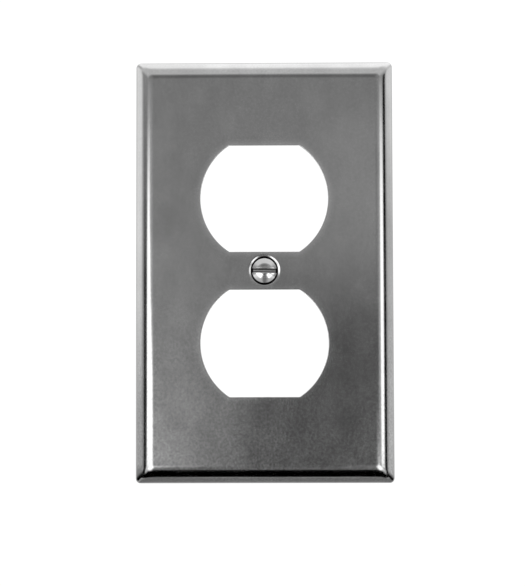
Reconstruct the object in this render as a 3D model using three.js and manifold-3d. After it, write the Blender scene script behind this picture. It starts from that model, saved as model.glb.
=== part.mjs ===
// A single-gang wall plate for a duplex receptacle: one stamping of stainless sheet, its slotted
// oval-head mounting screw, and the washer that keeps the screw captive behind the plate.
//
// Everything is drawn in a face frame, in millimetres: x to the right, y up and z out of the wall,
// with the wall plane at z = 0 and the screw's axis through the origin. The last group turns that
// frame, so that the plate's front faces -Y and +Z is up.

import * as THREE from "three";
import { mergeVertices } from "three/addons/utils/BufferGeometryUtils.js";
import Module from "manifold-3d";

// Driving dimensions of the plate.
const PLATE_WIDTH = 69.85;
const PLATE_HEIGHT = 114.3;
const PLATE_DEPTH = 5.6; // wall plane to front face
const SHEET = 0.8;
const EDGE_BEND = 5.2; // outer radius of the formed edge
const CORNER = 1.3; // plan radius where two edges meet

// The two openings are circles with a flat top and bottom.
const OPENING_RADIUS = 17.15;
const OPENING_HEIGHT = 28.7;
const OPENING_SPACING = 38.9;

// The screw sits in a dimple: a shallow dish, then a countersunk cone down to a plain hole.
const DISH_RADIUS = 4.27; // where the dish leaves the face
const DISH_SLOPE = THREE.MathUtils.degToRad(20.5); // from the face
const CONE_RADIUS = 3.65; // where the dish meets the cone
const COUNTERSINK = THREE.MathUtils.degToRad(82) / 2; // cone's angle from the screw's axis
const HOLE_RADIUS = 2.1;
const HOLE_LAND = 0.25; // straight length of the hole below the cone

// Number 6-32 oval-head machine screw, 5/16 in long.
const HEAD_RADIUS = 3.3;
const HEAD_LAND = 0.15; // straight edge between the cone and the crown
const CROWN_HEIGHT = 1.05;
const SHANK_RADIUS = 1.75;
const SCREW_LENGTH = 7.94; // from the head's edge to the tip
const TIP_CHAMFER = 0.4;
const SLOT_WIDTH = 1.13;
const SLOT_DEPTH = 1.4; // below the top of the crown
const SLOT_TILT = THREE.MathUtils.degToRad(-1.2);

// The washer grips the thread. Its front stops the screw from leaving the plate.
const WASHER_RADIUS = 3.9;
const WASHER_THICKNESS = 0.8;
const WASHER_BACK = 0.2; // in front of the wall plane
const THREAD_GAP = 0.12;

const SEAT_GAP = 0.3; // between the head's cone and the dimple

// How finely curves are divided.
const BEND_STEPS = 8;
const CORNER_STEPS = 5;
const OPENING_STEPS = 24;
const ROUND_STEPS = 40;
const CROWN_STEPS = 7;

const MARGIN = 1; // how far a cutting solid runs past what it cuts

// Sizes that follow from the ones above.
const CONE_TOP = PLATE_DEPTH - (DISH_RADIUS - CONE_RADIUS) * Math.tan(DISH_SLOPE);
const CONE_BOTTOM = CONE_TOP - (CONE_RADIUS - HOLE_RADIUS) / Math.tan(COUNTERSINK);
const DIMPLE_BACK = CONE_BOTTOM - HOLE_LAND;
const SEAT_RADIUS = HEAD_RADIUS + SEAT_GAP / Math.cos(COUNTERSINK);
const HEAD_EDGE = CONE_TOP + HEAD_LAND - (CONE_RADIUS - SEAT_RADIUS) / Math.tan(COUNTERSINK);

const wasm = await Module();
wasm.setup();

function toSolid(geometry) {
  const bare = geometry.clone();
  bare.deleteAttribute("normal");
  bare.deleteAttribute("uv");
  const merged = mergeVertices(bare);
  const corners = Array.from(merged.index.array);
  const triangles = [];
  for (let first = 0; first < corners.length; first += 3) {
    const [a, b, c] = corners.slice(first, first + 3);
    // A lathe leaves triangles with no area where its profile meets the axis.
    if (a !== b && b !== c && c !== a) {
      triangles.push(a, b, c);
    }
  }
  const vertProperties = new Float32Array(merged.attributes.position.array);
  const triVerts = new Uint32Array(triangles);
  return new wasm.Manifold(new wasm.Mesh({ numProp: 3, vertProperties, triVerts }));
}

function toGeometry(solid) {
  const { vertProperties, triVerts } = solid.getMesh();
  const geometry = new THREE.BufferGeometry();
  geometry.setAttribute("position", new THREE.BufferAttribute(vertProperties, 3));
  geometry.setIndex(new THREE.BufferAttribute(triVerts, 1));
  geometry.computeVertexNormals();
  return geometry;
}

// A solid of revolution about z. The profile is a list of [radius, z] that runs up its outside.
function turned(profile) {
  const points = profile.map(([radius, z]) => new THREE.Vector2(radius, z));
  return new THREE.LatheGeometry(points, ROUND_STEPS).rotateX(Math.PI / 2);
}

function prism(shape, back, front, curveSegments) {
  const settings = { depth: front - back, bevelEnabled: false, curveSegments };
  return new THREE.ExtrudeGeometry(shape, settings).translate(0, 0, back);
}

function rectangle(width, height) {
  const corners = [[-1, -1], [1, -1], [1, 1], [-1, 1]];
  return new THREE.Shape(corners.map(([x, y]) => new THREE.Vector2((x * width) / 2, (y * height) / 2)));
}

function roundedRectangle(width, height, radius) {
  const shape = new THREE.Shape();
  const corners = [[1, 1], [-1, 1], [-1, -1], [1, -1]];
  corners.forEach(([x, y], quarter) => {
    const start = (quarter * Math.PI) / 2;
    shape.absarc(x * (width / 2 - radius), y * (height / 2 - radius), radius, start, start + Math.PI / 2);
  });
  return shape;
}

// A block from z = back to z = front whose front edges are quarter rounds that meet in mitres,
// and whose four upright corners are rounded.
function softBlock(width, height, back, front, bend, corner) {
  const settings = {
    depth: front - bend - back,
    bevelSize: bend,
    bevelThickness: bend,
    bevelSegments: BEND_STEPS,
  };
  const bevelled = new THREE.ExtrudeGeometry(rectangle(width - 2 * bend, height - 2 * bend), settings);
  bevelled.translate(0, 0, back);
  const outline = roundedRectangle(width, height, corner);
  const trim = prism(outline, back, front + MARGIN, CORNER_STEPS);
  return toSolid(bevelled).intersect(toSolid(trim));
}

function openingOutline() {
  const halfAngle = Math.asin(OPENING_HEIGHT / 2 / OPENING_RADIUS);
  const shape = new THREE.Shape();
  shape.absarc(0, 0, OPENING_RADIUS, -halfAngle, halfAngle);
  shape.absarc(0, 0, OPENING_RADIUS, Math.PI - halfAngle, Math.PI + halfAngle);
  return shape;
}

// The back of the dimple, which stands proud behind the face.
function dimpleBoss() {
  const wall = SHEET / Math.cos(COUNTERSINK);
  const radiusAt = (z) => CONE_RADIUS + wall - (CONE_TOP - z) * Math.tan(COUNTERSINK);
  const front = PLATE_DEPTH - SHEET / 2;
  const profile = [
    [0, DIMPLE_BACK],
    [radiusAt(DIMPLE_BACK), DIMPLE_BACK],
    [radiusAt(front), front],
    [0, front],
  ];
  return toSolid(turned(profile));
}

// What is cut from the front of the dimple: the dish, the cone and the hole.
function dimpleCut() {
  const profile = [
    [0, DIMPLE_BACK - MARGIN],
    [HOLE_RADIUS, DIMPLE_BACK - MARGIN],
    [HOLE_RADIUS, CONE_BOTTOM],
    [CONE_RADIUS, CONE_TOP],
    [DISH_RADIUS, PLATE_DEPTH],
    [DISH_RADIUS, PLATE_DEPTH + MARGIN],
    [0, PLATE_DEPTH + MARGIN],
  ];
  return toSolid(turned(profile));
}

function wallPlate() {
  const block = softBlock(PLATE_WIDTH, PLATE_HEIGHT, 0, PLATE_DEPTH, EDGE_BEND, CORNER);
  const hollow = softBlock(
    PLATE_WIDTH - 2 * SHEET,
    PLATE_HEIGHT - 2 * SHEET,
    -MARGIN,
    PLATE_DEPTH - SHEET,
    EDGE_BEND - SHEET,
    CORNER - SHEET,
  );
  const opening = toSolid(prism(openingOutline(), 0, PLATE_DEPTH + MARGIN, OPENING_STEPS));
  let plate = block.subtract(hollow).add(dimpleBoss()).subtract(dimpleCut());
  for (const side of [1, -1]) {
    plate = plate.subtract(opening.translate([0, (side * OPENING_SPACING) / 2, 0]));
  }
  return toGeometry(plate);
}

// Drawn from the head's edge, which is where the length of an oval-head screw is measured from.
function mountingScrew() {
  const coneHeight = (HEAD_RADIUS - SHANK_RADIUS) / Math.tan(COUNTERSINK);
  const crownRadius = (HEAD_RADIUS ** 2 + CROWN_HEIGHT ** 2) / (2 * CROWN_HEIGHT);
  const crownAngle = Math.asin(HEAD_RADIUS / crownRadius);
  const profile = [
    [0, -SCREW_LENGTH],
    [SHANK_RADIUS - TIP_CHAMFER, -SCREW_LENGTH],
    [SHANK_RADIUS, TIP_CHAMFER - SCREW_LENGTH],
    [SHANK_RADIUS, -HEAD_LAND - coneHeight],
    [HEAD_RADIUS, -HEAD_LAND],
  ];
  for (let step = 0; step < CROWN_STEPS; step++) {
    const angle = crownAngle * (1 - step / CROWN_STEPS);
    const radius = crownRadius * Math.sin(angle);
    profile.push([radius, CROWN_HEIGHT - crownRadius * (1 - Math.cos(angle))]);
  }
  profile.push([0, CROWN_HEIGHT]);
  const slot = new THREE.BoxGeometry(2 * (HEAD_RADIUS + MARGIN), SLOT_WIDTH, 2 * SLOT_DEPTH);
  slot.translate(0, 0, CROWN_HEIGHT);
  return toGeometry(toSolid(turned(profile)).subtract(toSolid(slot)));
}

function retainingWasher() {
  const inner = SHANK_RADIUS + THREAD_GAP;
  const half = WASHER_THICKNESS / 2;
  const section = [
    [inner, -half],
    [WASHER_RADIUS, -half],
    [WASHER_RADIUS, half],
    [inner, half],
    [inner, -half],
  ];
  return turned(section);
}

const satinSteel = new THREE.MeshStandardMaterial({ color: 0x8c8c8c, roughness: 0.35, metalness: 1 });
const polishedSteel = new THREE.MeshStandardMaterial({ color: 0xb4b4b4, roughness: 0.15, metalness: 1 });
const nylon = new THREE.MeshStandardMaterial({ color: 0xe6e4da, roughness: 0.55, metalness: 0 });

function piece(name, geometry, material) {
  const mesh = new THREE.Mesh(geometry, material);
  mesh.name = name;
  return mesh;
}

const plate = piece("wall_plate", wallPlate(), satinSteel);

const screw = piece("mounting_screw", mountingScrew(), polishedSteel);
screw.position.z = HEAD_EDGE;
screw.rotation.z = SLOT_TILT;

const washer = piece("retaining_washer", retainingWasher(), nylon);
washer.position.z = WASHER_BACK + WASHER_THICKNESS / 2;

const coverPlate = new THREE.Group();
coverPlate.add(plate, screw, washer);
coverPlate.rotation.x = Math.PI / 2;

export default coverPlate;
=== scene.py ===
"""The looks of a single-gang wall plate: satin sheet metal, its oval-head screw and its washer.

Every piece is drawn in the face frame of the CAD source, in millimetres: x to the right, y up and
z out of the wall, with the wall plane at z = 0 and the screw's axis through the origin.
"""

import math

import bmesh
import bpy
import numpy as np
from mathutils import Matrix, Vector
from mathutils.geometry import delaunay_2d_cdt


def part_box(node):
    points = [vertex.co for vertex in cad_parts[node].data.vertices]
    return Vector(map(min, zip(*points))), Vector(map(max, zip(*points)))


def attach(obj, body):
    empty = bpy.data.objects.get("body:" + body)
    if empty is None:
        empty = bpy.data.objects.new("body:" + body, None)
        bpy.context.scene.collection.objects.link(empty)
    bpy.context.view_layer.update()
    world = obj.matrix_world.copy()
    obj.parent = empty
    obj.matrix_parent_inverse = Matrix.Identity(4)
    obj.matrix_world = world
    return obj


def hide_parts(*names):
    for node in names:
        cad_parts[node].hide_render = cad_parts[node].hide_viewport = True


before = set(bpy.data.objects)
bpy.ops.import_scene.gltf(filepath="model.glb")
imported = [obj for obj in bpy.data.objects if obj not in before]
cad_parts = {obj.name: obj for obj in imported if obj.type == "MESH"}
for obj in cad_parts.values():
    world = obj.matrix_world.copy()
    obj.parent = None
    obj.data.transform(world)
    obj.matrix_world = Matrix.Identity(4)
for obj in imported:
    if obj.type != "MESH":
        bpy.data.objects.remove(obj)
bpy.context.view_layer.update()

MM = 0.001
QUARTER = math.pi / 2


def size_of(node):
    """(lowest corner, highest corner) of a CAD node in the face frame."""
    low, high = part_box(node)
    return Vector((low.x, low.z, -high.y)) / MM, Vector((high.x, high.z, -low.y)) / MM


plate_high = size_of("wall_plate")[1]
screw_low, screw_high = size_of("mounting_screw")
washer_low, washer_high = size_of("retaining_washer")

# The plate.
HALF_WIDTH = plate_high.x
HALF_HEIGHT = plate_high.y
FACE = plate_high.z
SHEET = 0.8
BACK = FACE - SHEET
EDGE_BEND = 5.2
CORNER = 1.3
CREASE = 0.3  # plan radius of the mitre where the face ends
CORNER_BULGE = 0.9  # how much rounder the mitre is halfway down the edge
RIM_ROUND = 0.12
BEND_STEPS = 24
CORNER_STEPS = 8
GRID = 2.5  # spacing of the points that fill the face
SUPPORT = 0.15  # flat strip beside each bend, which keeps the face's shading flat

# The openings and the dimple.
OPENING_RADIUS = 17.15
OPENING_HEIGHT = 28.7
OPENING_SPACING = 38.9
OPENING_ARC_STEPS = 56
OPENING_FLAT_STEPS = 20
ROLL = 0.12  # the punch rounds an opening's front edge
BURR = 0.04
DISH_RADIUS = 4.27
DISH_SLOPE = math.radians(20.5)
DISH_ROUND = 1.0  # bend where the dish leaves the face
CONE_RADIUS = 3.65
CONE_ROUND = 0.1
COUNTERSINK = math.radians(82) / 2
HOLE_RADIUS = 2.1
HOLE_LAND = 0.25
HOLE_ROUND = 0.08
BOSS_ROUND = 0.15
BOSS_FILLET = 0.5
ROUND_STEPS = 96
CONE_TOP = FACE - (DISH_RADIUS - CONE_RADIUS) * math.tan(DISH_SLOPE)

# The screw, drawn from its head's edge.
HEAD_RADIUS = 3.3
HEAD_ROUND = 0.06
HEAD_LAND = 0.15
CROWN_HEIGHT = 1.05
CROWN_RADIUS = (HEAD_RADIUS**2 + CROWN_HEIGHT**2) / (2 * CROWN_HEIGHT)
CROWN_CENTRE = CROWN_HEIGHT - CROWN_RADIUS
CROWN_STEPS = 16
HEAD_EDGE = screw_high.z - CROWN_HEIGHT
THREAD_RADIUS = 1.75
THREAD_DEPTH = 0.45
THREAD_CREST = 0.1  # as a share of the pitch
THREAD_FLANKS = 0.75  # both flanks together, as a share of the pitch
PITCH = 25.4 / 32
ROWS_PER_TURN = 16
CONE_END = -HEAD_LAND - (HEAD_RADIUS - THREAD_RADIUS) / math.tan(COUNTERSINK)
CONE_STOP = 0.02  # the cone's last ring lies this far before the cone's end
THREAD_START = 0.03  # the thread's first row lies this far below the cone's end
NECK = 0.15  # plain length below the cone
NECK_CUT = 0.35  # the neck's depth, as a share of the thread's
THREAD_FADE = 0.5  # length over which the thread then reaches its full depth
TIP = screw_low.z - HEAD_EDGE
TIP_CHAMFER = 0.4
TIP_SLOPE = 0.9  # how much the chamfer widens for its length
SLOT_WIDTH = 1.13
SLOT_DEPTH = 1.4
SLOT_TILT = math.radians(-1.2)
SLOT_ROUND = 0.18
SLOT_CORNER = 0.1
SLOT_SECTIONS = 61
CUTTER_MARGIN = 0.5  # how far the slot's cutter runs past the head
CUTTER_NUDGE = 0.02  # keeps the cutter's flare off the crown's own surface

# The washer.
WASHER_RADIUS = washer_high.x
WASHER_BORE = 1.8
WASHER_ROUND = 0.15

INSIDE_EDGES = 1  # delaunay_2d_cdt's setting for triangles inside the edges only
SAME_PLACE = 1e-5


class Surface:
    """Points and faces in the face frame, built loop by loop."""

    def __init__(self):
        self.points = []
        self.faces = []

    def loop(self, points):
        first = len(self.points)
        self.points.extend(points)
        return list(range(first, len(self.points)))

    def bridge(self, one, other):
        count = len(one)
        for i in range(count):
            j = (i + 1) % count
            self.faces.append((one[i], one[j], other[j], other[i]))

    def loft(self, rings):
        """Joins rings of as many points, in order, and returns the first and the last loop."""
        loops = [self.loop(ring) for ring in rings]
        for one, other in zip(loops, loops[1:]):
            self.bridge(one, other)
        return loops[0], loops[-1]

    def cap(self, loop, centre):
        middle = self.loop([centre])[0]
        for i, index in enumerate(loop):
            self.faces.append((index, loop[(i + 1) % len(loop)], middle))

    def fill(self, outline, holes, z, inside, spacing):
        """Fills an outline at height z, apart from its convex holes, with triangles on a grid."""
        loops = (outline, *holes)
        known = [index for loop in loops for index in loop]
        flat = [Vector(self.points[index][:2]) for index in known]
        edges = []
        for loop in loops:
            first = known.index(loop[0])
            count = len(loop)
            edges.extend((first + i, first + (i + 1) % count) for i in range(count))
        border = np.array(flat)
        low, high = border.min(axis=0), border.max(axis=0)
        for x in np.arange(low[0] + spacing / 2, high[0], spacing):
            for y in np.arange(low[1] + spacing / 2, high[1], spacing):
                clear = np.hypot(*(border - (x, y)).T).min() > spacing / 2
                if clear and inside(x, y):
                    known.append(self.loop([(x, y, z)])[0])
                    flat.append(Vector((x, y)))
        result = delaunay_2d_cdt(flat, edges, [], INSIDE_EDGES, SAME_PLACE)
        triangles, origins = result[2], result[3]
        hole_points = [set(hole) for hole in holes]
        for triangle in triangles:
            corners = tuple(known[origins[i][0]] for i in triangle)
            # A triangle with every corner on one convex hole's loop lies in that hole.
            if not any(points.issuperset(corners) for points in hole_points):
                self.faces.append(corners)

    def object(self, name):
        """The surface as a smooth-shaded object, in metres, in the row frame."""
        mesh = bpy.data.meshes.new(name)
        mesh.from_pydata([(x * MM, -z * MM, y * MM) for x, y, z in self.points], [], self.faces)
        shape = bmesh.new()
        shape.from_mesh(mesh)
        bmesh.ops.remove_doubles(shape, verts=shape.verts, dist=1e-7)
        bmesh.ops.recalc_face_normals(shape, faces=shape.faces)
        shape.to_mesh(mesh)
        shape.free()
        mesh.shade_smooth()
        made = bpy.data.objects.new(name, mesh)
        bpy.context.scene.collection.objects.link(made)
        return made


def arc(centre, radius, start, end, steps):
    """Points (across, up) on an arc, with angles from the across direction."""
    angles = np.linspace(start, end, steps + 1)
    return [(centre[0] + radius * math.cos(a), centre[1] + radius * math.sin(a)) for a in angles]


def between(start, end, steps):
    """The points that divide a straight line into steps, without its two ends."""
    start, end = Vector(start), Vector(end)
    return [tuple(start.lerp(end, i / steps)) for i in range(1, steps)]


def rounded_rectangle(inset, z):
    """A loop round the plate, inset from its outline, with softer corners near the rim."""
    half_width, half_height = HALF_WIDTH - inset, HALF_HEIGHT - inset
    rise = max(0.0, 1 - inset / EDGE_BEND)
    radius = CREASE + (CORNER - CREASE) * rise + 4 * CORNER_BULGE * rise * (1 - rise)
    corners = []
    for turn, (x, y) in enumerate([(1, 1), (-1, 1), (-1, -1), (1, -1)]):
        centre = (x * (half_width - radius), y * (half_height - radius))
        corners.append(arc(centre, radius, turn * QUARTER, (turn + 1) * QUARTER, CORNER_STEPS))
    points = []
    for turn, corner in enumerate(corners):
        side = 2 * (HALF_HEIGHT if turn % 2 else HALF_WIDTH)
        next_corner = corners[(turn + 1) % 4]
        points += corner + between(corner[-1], next_corner[0], round(side / GRID))
    return [(x, y, z) for x, y in points]


def opening_outline(side, grow, z):
    """A loop round an opening, grown outwards by grow."""
    radius = OPENING_RADIUS + grow
    half_angle = math.asin((OPENING_HEIGHT / 2 + grow) / radius)
    middle = side * OPENING_SPACING / 2
    points = []
    for start in (-half_angle, math.pi - half_angle):
        bow = arc((0, middle), radius, start, start + 2 * half_angle, OPENING_ARC_STEPS)
        x, y = bow[-1]
        points += bow + between((x, y), (-x, y), OPENING_FLAT_STEPS)
    return [(x, y, z) for x, y in points]


def circle(radius, z, steps=ROUND_STEPS):
    angles = np.arange(steps) * 2 * math.pi / steps
    return [(radius * math.cos(a), radius * math.sin(a), z) for a in angles]


def in_opening(x, y):
    y = abs(y) - OPENING_SPACING / 2
    return math.hypot(x, y) < OPENING_RADIUS and abs(y) < OPENING_HEIGHT / 2


def on_face(x, y):
    inside = abs(x) < HALF_WIDTH - EDGE_BEND and abs(y) < HALF_HEIGHT - EDGE_BEND
    return inside and not in_opening(x, y) and math.hypot(x, y) > DISH_RADIUS


def edge_section():
    """(inset, z) round the formed edge's section, from the front of the face to its back."""
    centre = (EDGE_BEND, FACE - EDGE_BEND)
    outer = arc(centre, EDGE_BEND, QUARTER, 2 * QUARTER, BEND_STEPS)
    inner = arc(centre, EDGE_BEND - SHEET, 2 * QUARTER, QUARTER, BEND_STEPS)
    rim = arc((RIM_ROUND, RIM_ROUND), RIM_ROUND, 2 * QUARTER, 3 * QUARTER, 4)
    rim += arc((SHEET - RIM_ROUND, RIM_ROUND), RIM_ROUND, -QUARTER, 0, 4)
    return supported(outer + rim + inner)


def opening_section():
    """(growth, z) through an opening's cut wall, from the front of the sheet to its back."""
    front = arc((ROLL, FACE - ROLL), ROLL, QUARTER, 2 * QUARTER, 5)
    back = arc((BURR, BACK + BURR), BURR, 2 * QUARTER, 3 * QUARTER, 3)
    return [(ROLL + SUPPORT, FACE), *front, *back, (ROLL + SUPPORT, BACK)]


def supported(section):
    """A section that also runs on a little way along the face's front and back."""
    return [(section[0][0] + SUPPORT, FACE), *section, (section[-1][0] + SUPPORT, BACK)]


def eased(corner, slope, next_slope, bend, steps=5):
    """A (radius, z) section's convex corner as an arc, going inwards as the surface gets steeper."""
    reach = bend * math.tan((next_slope - slope) / 2)
    across = corner[0] + reach * math.cos(slope) + bend * math.sin(slope)
    up = corner[1] + reach * math.sin(slope) - bend * math.cos(slope)
    return arc((across, up), bend, QUARTER + slope, QUARTER + next_slope, steps)


def dimple_section():
    """(radius, z) through the dimple, from the front of the face to its back."""
    steep = QUARTER - COUNTERSINK
    cone_bottom = CONE_TOP - (CONE_RADIUS - HOLE_RADIUS) / math.tan(COUNTERSINK)
    front = eased((DISH_RADIUS, FACE), 0, DISH_SLOPE, DISH_ROUND)
    front += eased((CONE_RADIUS, CONE_TOP), DISH_SLOPE, steep, CONE_ROUND)
    front += eased((HOLE_RADIUS, cone_bottom), steep, QUARTER, HOLE_ROUND)
    back = cone_bottom - HOLE_LAND
    outside = CONE_RADIUS + SHEET / math.cos(COUNTERSINK) - CONE_TOP * math.tan(COUNTERSINK)
    boss_radius = outside + back * math.tan(COUNTERSINK)
    foot_radius = outside + BACK * math.tan(COUNTERSINK)
    lip = (HOLE_RADIUS + HOLE_ROUND, back + HOLE_ROUND)
    brim = (boss_radius - BOSS_ROUND, back + BOSS_ROUND)
    foot = (foot_radius + BOSS_FILLET * math.tan(steep / 2), BACK - BOSS_FILLET)
    bottom = arc(lip, HOLE_ROUND, 2 * QUARTER, 3 * QUARTER, 4)
    bottom += arc(brim, BOSS_ROUND, -QUARTER, steep - QUARTER, 5)
    fillet = arc(foot, BOSS_FILLET, QUARTER + steep, QUARTER, 6)
    return supported(front + bottom + fillet)


def wall_plate():
    """One sheet: the formed edge, the face's front and back, both openings and the dimple."""
    surface = Surface()
    loops = [surface.loft([rounded_rectangle(inset, z) for inset, z in edge_section()])]
    for side in (1, -1):
        rings = [opening_outline(side, grow, z) for grow, z in opening_section()]
        loops.append(surface.loft(rings))
    loops.append(surface.loft([circle(radius, z) for radius, z in dimple_section()]))
    fronts, backs = zip(*loops)
    surface.fill(fronts[0], fronts[1:], FACE, on_face, GRID)
    surface.fill(backs[0], backs[1:], BACK, on_face, GRID)
    return surface.object("satin_plate")


def clamped(value):
    return min(1.0, max(0.0, value))


def screw_radius(z, angle):
    """The screw's radius below its head's cone, with a thread that fades in at the neck."""
    turns = z / PITCH - angle / (2 * math.pi)
    phase = abs((turns % 1) - 0.5) * 2
    flank = clamped((phase - THREAD_CREST) / THREAD_FLANKS)
    fade = clamped((CONE_END - NECK - z) / THREAD_FADE)
    radius = THREAD_RADIUS - THREAD_DEPTH * (flank * fade + NECK_CUT * (1 - fade))
    return min(radius, THREAD_RADIUS - TIP_CHAMFER + (z - TIP) * TIP_SLOPE)


def head_section():
    """(radius, z) down the outside of the head, from beside the middle of its crown."""
    crown_angle = math.asin((HEAD_RADIUS - HEAD_ROUND) / (CROWN_RADIUS - HEAD_ROUND))
    rim = QUARTER - crown_angle
    section = arc((0, CROWN_CENTRE), CROWN_RADIUS, QUARTER, rim, CROWN_STEPS)[1:]
    round_up = CROWN_CENTRE + (CROWN_RADIUS - HEAD_ROUND) * math.cos(crown_angle)
    section += arc((HEAD_RADIUS - HEAD_ROUND, round_up), HEAD_ROUND, rim, 0, 4)[1:]
    section.append((HEAD_RADIUS, -HEAD_LAND))
    section.append((THREAD_RADIUS + CONE_STOP, CONE_END + CONE_STOP))
    return section


def mounting_screw():
    """A slotted oval head on a threaded shank."""
    surface = Surface()
    rings = [circle(radius, HEAD_EDGE + z) for radius, z in head_section()]
    angles = np.arange(ROUND_STEPS) * 2 * math.pi / ROUND_STEPS
    rows = round((CONE_END - TIP) / PITCH * ROWS_PER_TURN)
    for z in np.linspace(CONE_END - THREAD_START, TIP, rows):
        ring = [(screw_radius(z, a), a) for a in angles]
        rings.append([(r * math.cos(a), r * math.sin(a), HEAD_EDGE + z) for r, a in ring])
    top, bottom = surface.loft(rings)
    surface.cap(top, (0, 0, HEAD_EDGE + CROWN_HEIGHT))
    surface.cap(bottom, (0, 0, HEAD_EDGE + TIP))
    screw = surface.object("slotted_screw")
    cut_slot(screw)
    return screw


def slot_section(x):
    """(y, z) round the slot's cutter at x. Its flanks flare out at the crown, to ease the edges."""
    half = SLOT_WIDTH / 2
    top = HEAD_EDGE + CROWN_HEIGHT
    corner = (half - SLOT_CORNER, top - SLOT_DEPTH + SLOT_CORNER)
    reach = min(abs(x), HEAD_RADIUS - CUTTER_NUDGE)
    crown = HEAD_EDGE + CROWN_CENTRE + math.sqrt(CROWN_RADIUS**2 - reach**2 - half**2)
    flank = arc(corner, SLOT_CORNER, -QUARTER, 0, 3)
    flank += arc((half + SLOT_ROUND, crown - SLOT_ROUND), SLOT_ROUND, 2 * QUARTER, QUARTER, 4)
    end_y, end_z = flank.pop()
    flank.append((end_y + CUTTER_NUDGE, end_z + CUTTER_NUDGE / 2))
    flank.append((half + SLOT_ROUND + CUTTER_NUDGE, top + 2 * CUTTER_MARGIN))
    return flank + [(-y, z) for y, z in reversed(flank)]


def cut_slot(screw):
    cutter = Surface()
    end = HEAD_RADIUS + CUTTER_MARGIN
    turn = Matrix.Rotation(SLOT_TILT, 2)
    rings = []
    for x in np.linspace(-end, end, SLOT_SECTIONS):
        rings.append([(*(turn @ Vector((x, y))), z) for y, z in slot_section(x)])
    first, last = cutter.loft(rings)
    cutter.faces.append(tuple(first))
    cutter.faces.append(tuple(last))
    tool = cutter.object("slot_cutter")
    cut = screw.modifiers.new("slot", "BOOLEAN")
    cut.operation = "DIFFERENCE"
    cut.solver = "EXACT"
    cut.object = tool
    apply_modifiers(screw)
    bpy.data.objects.remove(tool)


def apply_modifiers(piece):
    evaluated = piece.evaluated_get(bpy.context.evaluated_depsgraph_get())
    mesh = bpy.data.meshes.new_from_object(evaluated)
    piece.modifiers.clear()
    piece.data = mesh


def retaining_washer():
    """A flat ring with rounded edges."""
    surface = Surface()
    outer, inner = WASHER_RADIUS - WASHER_ROUND, WASHER_BORE + WASHER_ROUND
    low, high = washer_low.z + WASHER_ROUND, washer_high.z - WASHER_ROUND
    section = []
    for turn, centre in enumerate([(outer, low), (outer, high), (inner, high), (inner, low)]):
        start = (turn - 1) * QUARTER
        section += arc(centre, WASHER_ROUND, start, start + QUARTER, 4)
    first, last = surface.loft([circle(radius, z) for radius, z in section])
    surface.bridge(last, first)
    return surface.object("captive_washer")


# --- materials ---

CREVICE = 0.03  # how much of its lightness the metal keeps in the painted shade where no light gets in
CREVICE_STRETCH = 0.97  # under 1, so the painted shade reaches further up and down than sideways
SATIN_GREY = 0.59
NOISE_MIDDLE = 0.5
NOISE_LOW = 0.3
NOISE_HIGH = 0.7


class Nodes:
    """Short ways to add and link shader nodes."""

    def __init__(self, name):
        self.material = bpy.data.materials.new(name)
        self.material.use_nodes = True
        self.tree = self.material.node_tree
        self.shader = self.tree.nodes["Principled BSDF"]

    def add(self, kind, settings=None, **inputs):
        node = self.tree.nodes.new(kind)
        for name, value in (settings or {}).items():
            setattr(node, name, value)
        for name, value in inputs.items():
            self.join(value, node.inputs[name])
        return node

    def join(self, value, socket):
        if isinstance(value, bpy.types.NodeSocket):
            self.tree.links.new(value, socket)
        else:
            socket.default_value = value

    def noise(self, scale, stretch=(1, 1, 1), detail=3.0, roughness=0.5):
        """Noise with scale cycles per metre, stretched along the row frame's axes."""
        mapping = self.add("ShaderNodeMapping", Vector=self.place(), Scale=stretch)
        noise = self.add(
            "ShaderNodeTexNoise",
            Vector=mapping.outputs["Vector"],
            Scale=scale,
            Detail=detail,
            Roughness=roughness,
        )
        return noise.outputs["Fac"]

    def range(self, value, low, high, out_low, out_high):
        """Turns low to high into out_low to out_high, and holds the value at both ends."""
        node = self.add("ShaderNodeMapRange", Value=value)
        numbers = {"From Min": low, "From Max": high, "To Min": out_low, "To Max": out_high}
        for name, number in numbers.items():
            node.inputs[name].default_value = number
        return node.outputs["Result"]

    def math(self, operation, *values):
        node = self.add("ShaderNodeMath", {"operation": operation})
        for value, socket in zip(values, node.inputs):
            self.join(value, socket)
        return node.outputs["Value"]

    def sum(self, one, other):
        return self.math("ADD", one, other)

    def product(self, one, other):
        return self.math("MULTIPLY", one, other)

    def absolute(self, value):
        return self.math("ABSOLUTE", value)

    def place(self):
        """Where the point lies in the row frame at rest, in metres."""
        return self.add("ShaderNodeTexCoord").outputs["Object"]

    def vector(self, operation, output, *values):
        node = self.add("ShaderNodeVectorMath", {"operation": operation})
        for value, socket in zip(values, node.inputs):
            self.join(value, socket)
        return node.outputs[output]

    def times(self, one, other):
        return self.vector("MULTIPLY", "Vector", one, other)

    def dot(self, one, other):
        return self.vector("DOT_PRODUCT", "Value", one, other)

    def length(self, value):
        return self.vector("LENGTH", "Value", value)

    def grey(self, value):
        return self.add("ShaderNodeCombineColor", Red=value, Green=value, Blue=value).outputs["Color"]

    def finish(self, lightness, roughness, height, strength, depth):
        """Sets the shader's grey, its roughness and its bump, and returns the material."""
        bump = self.add("ShaderNodeBump", Height=height, Strength=strength, Distance=depth)
        self.join(self.grey(lightness), self.shader.inputs["Base Color"])
        self.join(roughness, self.shader.inputs["Roughness"])
        self.join(bump.outputs["Normal"], self.shader.inputs["Normal"])
        return self.material


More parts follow.
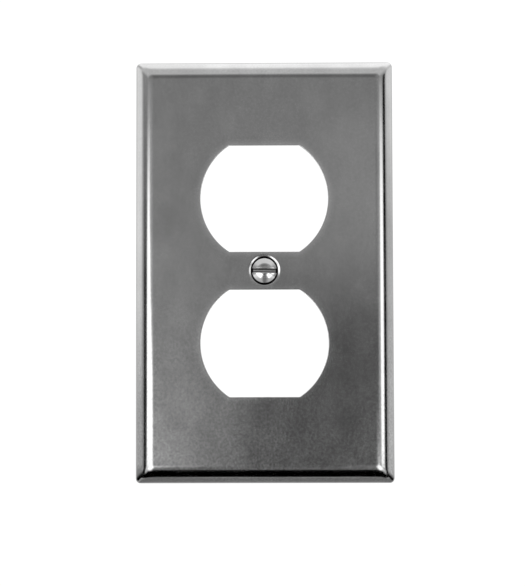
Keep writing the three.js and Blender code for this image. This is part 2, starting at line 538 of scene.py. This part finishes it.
def outside_openings(nodes, place):
    """How far the point lies outside the nearer opening, in metres."""
    across = nodes.dot(place, (1, 0, 0))
    height = nodes.absolute(nodes.dot(place, (0, 0, 1)))
    up = nodes.sum(height, -OPENING_SPACING / 2 * MM)
    squares = nodes.sum(nodes.product(across, across), nodes.product(up, up))
    from_bow = nodes.sum(nodes.math("SQRT", squares), -OPENING_RADIUS * MM)
    from_flat = nodes.sum(nodes.absolute(up), -OPENING_HEIGHT / 2 * MM)
    return nodes.math("MAXIMUM", from_bow, from_flat)


def dimple_shade(nodes, place):
    """1 in front of the dimple's cone, and CREVICE on the cone and behind it: painted shade, where no
    light gets in.
    """
    radius = nodes.length(nodes.times(place, (1, 0, CREVICE_STRETCH)))
    slant = math.tan(COUNTERSINK)
    cone = nodes.sum(radius, nodes.dot(place, (0, slant, 0)))
    start = (CONE_RADIUS - CONE_TOP * slant) * MM
    return nodes.range(cone, start, start + 0.1 * MM, CREVICE, 1.0)


def satin_steel():
    """Satin sheet with grain and slow clouds, lighter by the openings and with painted shade in the
    dimple.

    The grain is strongest low on the plate and near its middle line.
    """
    nodes = Nodes("satin steel")
    relief = nodes.noise(3000, (1, 1, 0.8), 4.0, 0.6)
    grain = nodes.noise(2050, (1, 1, 0.9), 1.5, 0.6)
    cloud = nodes.noise(160, (1, 1, 0.6))
    place = nodes.place()
    strength = nodes.range(nodes.dot(place, (0, 0, 1)), -50 * MM, 0, 0.48, 0.12)
    from_middle = nodes.absolute(nodes.dot(place, (1, 0, 0)))
    strength = nodes.product(strength, nodes.range(from_middle, 0, 18 * MM, 1.35, 0.92))
    steel = nodes.sum(nodes.product(nodes.sum(grain, -NOISE_MIDDLE), strength), SATIN_GREY)
    steel = nodes.sum(nodes.product(nodes.sum(cloud, -NOISE_MIDDLE), 0.2), steel)
    # Lighter towards the openings' edges, over the last 2.2 mm of the face.
    lighter_near_openings = nodes.range(outside_openings(nodes, place), 0, 2.2 * MM, 0.48, 0)
    steel = nodes.sum(steel, nodes.math("POWER", lighter_near_openings, 2))
    # painted shade in the dimple's cone
    steel = nodes.product(steel, dimple_shade(nodes, place))
    nodes.shader.inputs["Metallic"].default_value = 1.0
    roughness = nodes.range(cloud, NOISE_LOW, NOISE_HIGH, 0.13, 0.17)
    return nodes.finish(steel, roughness, relief, strength=0.08, depth=0.02 * MM)


def slot_shade(nodes, place):
    """1 on the open metal, and CREVICE along the slot's floor near its corners and at its ends:
    painted shade.
    """
    across = nodes.absolute(nodes.dot(place, (-math.sin(SLOT_TILT), 0, math.cos(SLOT_TILT))))
    along = nodes.absolute(nodes.dot(place, (math.cos(SLOT_TILT), 0, math.sin(SLOT_TILT))))
    height = nodes.dot(place, (0, -1, 0))
    half = SLOT_WIDTH / 2 * MM
    bottom = (HEAD_EDGE + CROWN_HEIGHT - SLOT_DEPTH) * MM
    # Painted shade: two dark lines along the slot's floor, and a dark stop at each end.
    dark = nodes.range(across, 0.25 * half, 0.4 * half, 0, 1)
    dark = nodes.product(dark, nodes.range(across, 0.55 * half, 0.75 * half, 1, 0.15))
    dark = nodes.math("MAXIMUM", dark, nodes.range(along, 2.9 * MM, 3.1 * MM, 0, 1))
    dark = nodes.product(dark, nodes.range(across, half, 1.04 * half, 1, 0))
    dark = nodes.product(dark, nodes.range(height, bottom - 0.1 * MM, bottom - 0.05 * MM, 0, 1))
    return nodes.range(dark, 0, 1, 1, CREVICE)


def bright_steel():
    """Bright plating, with painted shade in the slot's corners and at its ends."""
    nodes = Nodes("bright steel")
    grain = nodes.noise(900)
    steel = nodes.range(grain, NOISE_LOW, NOISE_HIGH, 0.78, 0.84)
    steel = nodes.product(steel, slot_shade(nodes, nodes.place()))
    nodes.shader.inputs["Metallic"].default_value = 1.0
    roughness = nodes.range(grain, NOISE_LOW, NOISE_HIGH, 0.1, 0.16)
    return nodes.finish(steel, roughness, grain, strength=0.5, depth=0.03 * MM)


def nylon():
    """Natural nylon, slightly cloudy."""
    nodes = Nodes("nylon")
    cloud = nodes.noise(500)
    white = nodes.range(cloud, NOISE_LOW, NOISE_HIGH, 0.74, 0.82)
    roughness = nodes.range(cloud, NOISE_LOW, NOISE_HIGH, 0.4, 0.5)
    return nodes.finish(white, roughness, cloud, strength=0.2, depth=0.03 * MM)


def finish(piece, material, body, node):
    piece.data.materials.clear()
    piece.data.materials.append(material)
    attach(piece, body)
    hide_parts(node)


# --- studio ---

WHITE = 1.05  # just over 1, so that the surround renders as pure white
TENT_RADIUS = 450
TENT_STEP = 2.0  # degrees
TENT_GREY = 0.29  # where no layer is painted
FLAG_GAP = 9.5  # from the plate's outline to the strips round it
FLOOR_LEVEL = -400
FLOOR_REACH = 1500


def emission(name):
    """A material that only shines, and its light node."""
    material = bpy.data.materials.new(name)
    material.use_nodes = True
    tree = material.node_tree
    tree.nodes.clear()
    light = tree.nodes.new("ShaderNodeEmission")
    output = tree.nodes.new("ShaderNodeOutputMaterial")
    tree.links.new(light.outputs["Emission"], output.inputs["Surface"])
    return material, light


def glow():
    """Emission as strong as the mesh's brightness attribute."""
    material, light = emission("glow")
    material.cycles.emission_sampling = "NONE"
    brightness = material.node_tree.nodes.new("ShaderNodeAttribute")
    brightness.attribute_name = "brightness"
    material.node_tree.links.new(brightness.outputs["Fac"], light.inputs["Strength"])
    return material


def step(values, at, soft):
    """0 below at and 1 above it, over a soft range."""
    rise = np.clip((values - at) / soft + 0.5, 0, 1)
    return rise * rise * (3 - 2 * rise)


def band(values, low, high, soft):
    return step(values, low, soft) - step(values, high, soft)


def around(turn, middle, half, soft):
    """1 within half of middle, both angles round the plate's axis."""
    return 1 - step(np.abs((turn - middle + 180) % 360 - 180), half, soft)


def tent_brightness(places):
    """The light tent's brightness at places on it, in the face frame.

    away is the angle from straight in front of the plate, and turn the angle about that axis:
    0 is right, 90 up. side and rise are angles to the right and up. All are in degrees.
    Each layer is a mask and the brightness that it paints over the layers before it.
    """
    x, up, out = (places / np.linalg.norm(places, axis=1, keepdims=True)).T
    away = np.degrees(np.arccos(out))
    turn = np.degrees(np.arctan2(up, x)) % 360
    side = np.degrees(np.arctan2(x, out))
    rise = np.degrees(np.arcsin(up))

    # Darker and lighter areas in front, which the flat face reflects.
    front = [
        (band(side, -20, -3, 5) * (1 - step(rise, 4, 6)), 0.33),
        (1 - step(np.hypot(side - 8, rise - 9.5), 5, 5), 0.37),
        (band(side, -14, 12, 6) * (1 - step(rise, -18, 6)), 0.18),
        (band(side, -3, 27, 6) * band(rise, -22, 1.7, 7), 0.115),
    ]
    overhead = [
        (band(away, 24, 38, 6) * around(turn, 90, 30, 20), 0.17),
        (band(away, 44, 90, 6) * around(turn, 90, 55, 30), 0.7),
    ]
    # Beside the plate and behind it, mostly for its formed edge.
    behind = step(away, 80, 24)
    surround = [
        (behind, 0.22),
        (behind * around(turn, 90, 50, 40), 1.37),
        (behind * around(turn, 160, 27, 24), 1.05),
        (behind * around(turn, 210, 25, 20), 0.55),
        (behind * around(turn, 0, 25, 30), 0.68),
        (behind * around(turn, 24, 12, 14), 0.95),
        (behind * around(turn, 133, 7, 14), 0.6),
        (step(away, 135, 30), 0.6),
    ]
    # A grey skirt round the light on each side.
    low = 1 - step(rise, 16, 12)
    skirts = [
        (band(side, -42, -18, 18) * low, 0.5),
        (band(side, 27, 48, 16) * low, 0.5),
    ]
    # Low on each side, a wide soft wedge with a bright one in it.
    fill = np.interp(rise, (-40, -18), (0.5, 1.0))
    wedges = [
        (band(away, 20, 85, 14) * around(turn, 222, 24, 14), fill),
        (band(away, 20, 85, 14) * around(turn, 313, 18, 8), fill),
        (band(away, 20, 43, 6) * around(turn, 226, 17, 6), 1.9),
        (band(away, 24, 46, 6) * around(turn, 317, 15, 6), 1.9),
    ]
    # The left light gets wider and softer towards its lower end.
    left_edge = np.interp(rise, (-4, 1, 4, 7), (-15, -26, -30, -32))
    left_soft = np.interp(rise, (-4, 1), (10, 4))
    left = step(side, -46, 4) * (1 - step(side, left_edge, left_soft))
    lights = [
        (left * band(rise, -13, 10.5, 12), 2.2),
        (band(side, 38, 55.5, 4) * band(rise, -14, 13, 12), 1.9),
    ]
    brightness = np.full(len(places), TENT_GREY)
    for mask, value in front + overhead + surround + skirts + wedges + lights:
        brightness += mask * (value - brightness)
    return brightness


def lit(surface, name, levels, material):
    """A surface that lights the plate and that the camera doesn't see, with a level for each point."""
    made = surface.object(name)
    brightness = made.data.attributes.new("brightness", "FLOAT", "POINT")
    brightness.data.foreach_set("value", levels)
    made.data.materials.append(material)
    made.visible_camera = False


def light_tent(material):
    """A sphere round the plate, with softly edged lights painted on its inside."""
    surface = Surface()
    steps = round(360 / TENT_STEP)
    rings = []
    for away in np.radians(np.arange(TENT_STEP, 180, TENT_STEP)):
        rings.append(circle(TENT_RADIUS * math.sin(away), TENT_RADIUS * math.cos(away), steps))
    first, last = surface.loft(rings)
    surface.cap(first, (0, 0, TENT_RADIUS))
    surface.cap(last, (0, 0, -TENT_RADIUS))
    lit(surface, "light_tent", tent_brightness(np.array(surface.points)), material)


def flags(material):
    """Strips round the plate: they give its formed edge a dark outline and darken its lower corners.

    Each has a start and an end, its least and greatest z, and levels at even steps along it.
    """
    right, low = HALF_WIDTH + FLAG_GAP, -HALF_HEIGHT - FLAG_GAP
    strips = (
        ("left_flag", (-right, low), (-right, HALF_HEIGHT), (10, 16), (0.0, 0.03, 0.36)),
        ("right_corner_flag", (right, low), (right, 1 - HALF_HEIGHT), (-8, 8.2), (0.0, 0.0, 0.5)),
        ("left_corner_flag", (-right, low), (-right, 4 - HALF_HEIGHT), (-8, 9.9), (0.0, 0.0, 0.45)),
        ("right_flag", (right, low), (right, HALF_HEIGHT), (8.3, 13), (0.0, 0.0)),
        ("bottom_flag", (-right, low), (right, low), (6.3, 27), (0.0, 0.0)),
    )
    for name, start, end, (near, far), levels in strips:
        surface = Surface()
        rungs = []
        for along in np.linspace(0, 1, len(levels)):
            place = Vector(start).lerp(Vector(end), along)
            rungs.append(surface.loop([(*place, near), (*place, far)]))
        for one, other in zip(rungs, rungs[1:]):
            surface.faces.append((*one, *reversed(other)))
        lit(surface, name, np.repeat(levels, 2), material)


def studio():
    world = bpy.data.worlds.new("white")
    bpy.context.scene.world = world
    world.use_nodes = True
    background = world.node_tree.nodes["Background"]
    background.inputs["Color"].default_value = (1, 1, 1, 1)
    background.inputs["Strength"].default_value = WHITE
    material = glow()
    light_tent(material)
    flags(material)


def floor():
    """A white floor that no metal reflects and that lights nothing."""
    surface = Surface()
    corners = [(-1, -1), (1, -1), (1, 1), (-1, 1)]
    points = [(x * FLOOR_REACH, FLOOR_LEVEL, z * FLOOR_REACH) for x, z in corners]
    surface.faces.append(tuple(surface.loop(points)))
    made = surface.object("floor")
    material, light = emission("pale floor")
    light.inputs["Strength"].default_value = WHITE
    made.data.materials.append(material)
    made.visible_glossy = False
    made.visible_diffuse = False


# --- camera ---

SENSOR = 36
LENS = 83.4
CAMERA_PLACE = (3.4, -368.8, -22.7)  # in the row frame
CAMERA_RISE = 2.63  # degrees up from level
CAMERA_ROLL = 0.15  # degrees
CAMERA_TURN = 0.625  # degrees to the left


def camera():
    """A camera in front of the plate, from slightly below its middle."""
    data = bpy.data.cameras.new("camera")
    data.sensor_width = SENSOR
    data.lens = LENS
    data.clip_start = 0.01
    data.clip_end = 20
    made = bpy.data.objects.new("camera", data)
    bpy.context.scene.collection.objects.link(made)
    made.location = Vector(CAMERA_PLACE) * MM
    angles = (90 + CAMERA_RISE, CAMERA_ROLL, CAMERA_TURN)
    made.rotation_euler = [math.radians(angle) for angle in angles]
    bpy.context.scene.camera = made


camera()
floor()
studio()
finish(wall_plate(), satin_steel(), "plate", "wall_plate")
finish(mounting_screw(), bright_steel(), "screw", "mounting_screw")
finish(retaining_washer(), nylon(), "washer", "retaining_washer")

bpy.context.scene.view_settings.view_transform = "Standard"
